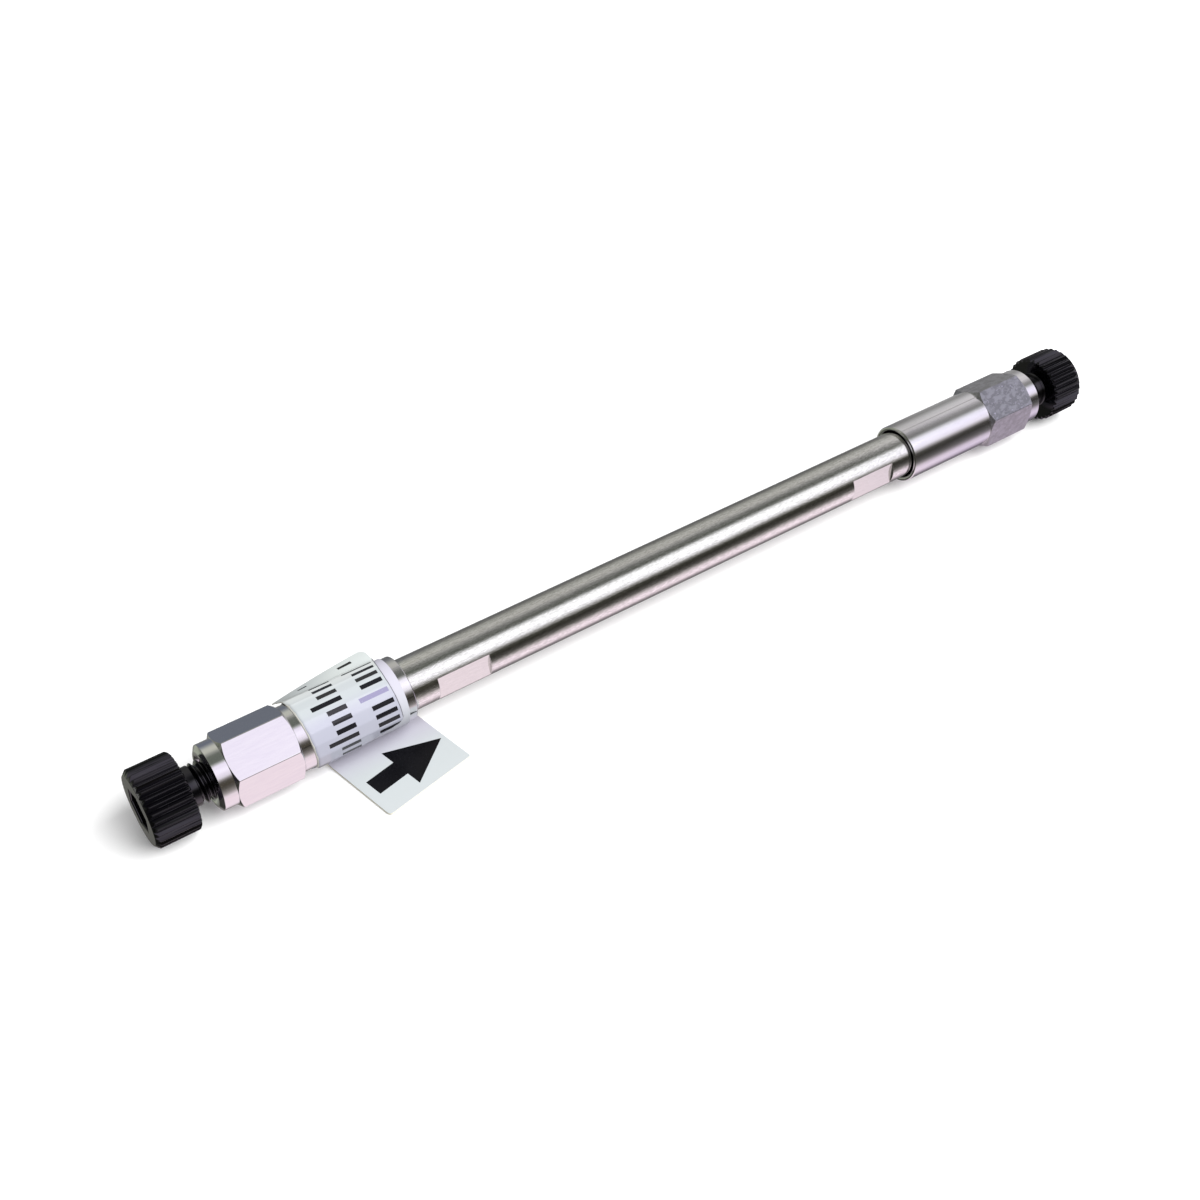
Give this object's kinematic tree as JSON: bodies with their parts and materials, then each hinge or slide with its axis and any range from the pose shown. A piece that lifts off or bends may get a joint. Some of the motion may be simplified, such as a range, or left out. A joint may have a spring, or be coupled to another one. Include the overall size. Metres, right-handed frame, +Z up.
{
  "type": "hplc column",
  "caption": "Steel packed-bed chromatography column with hexagonal end fittings, black fluted shipping plugs, a wrapped label and a flow-arrow flag tag.",
  "frame": {"origin": "centre of the inlet end fitting's outer face, on the column's axis", "axes": "+X along the axis from inlet to outlet, in the direction of flow; +Z up from the surface that the column lies on"},
  "size_m": [0.1417, 0.0173, 0.0092],
  "materials": {
    "steel_tube": "fine drawn and brushed along the axis",
    "steel_fitting": "turned and milled, bright edges, light scuffs",
    "sintered_steel": "porous sintered",
    "seal_ring": "machined",
    "packing": "packed fine powder",
    "black_plastic": "moulded, satin with fine flutes",
    "tag_paper": "coated face, cream cut edges",
    "label_paper": "glossy film face with soft lengthwise kinks"
  },
  "bodies": {
    "column": {"column_tube": "steel_tube", "packed_bed": "packing", "inlet_end_fitting": "steel_fitting", "outlet_end_fitting": "steel_fitting", "inlet_frit": "sintered_steel", "outlet_frit": "sintered_steel", "inlet_frit_ring": "seal_ring", "outlet_frit_ring": "seal_ring", "flow_tag": "tag_paper", "wrapped_label": "label_paper"},
    "inlet_plug": {"inlet_plug": "black_plastic"},
    "outlet_plug": {"outlet_plug": "black_plastic"}
  },
  "joints": [
    {"name": "inlet_plug_out", "type": "slide", "parent": "column", "child": "inlet_plug", "axis": [-1, 0, 0], "range_m": [0, 0.012]},
    {"name": "outlet_plug_out", "type": "slide", "parent": "column", "child": "outlet_plug", "axis": [1, 0, 0], "range_m": [0, 0.012]}
  ]
}
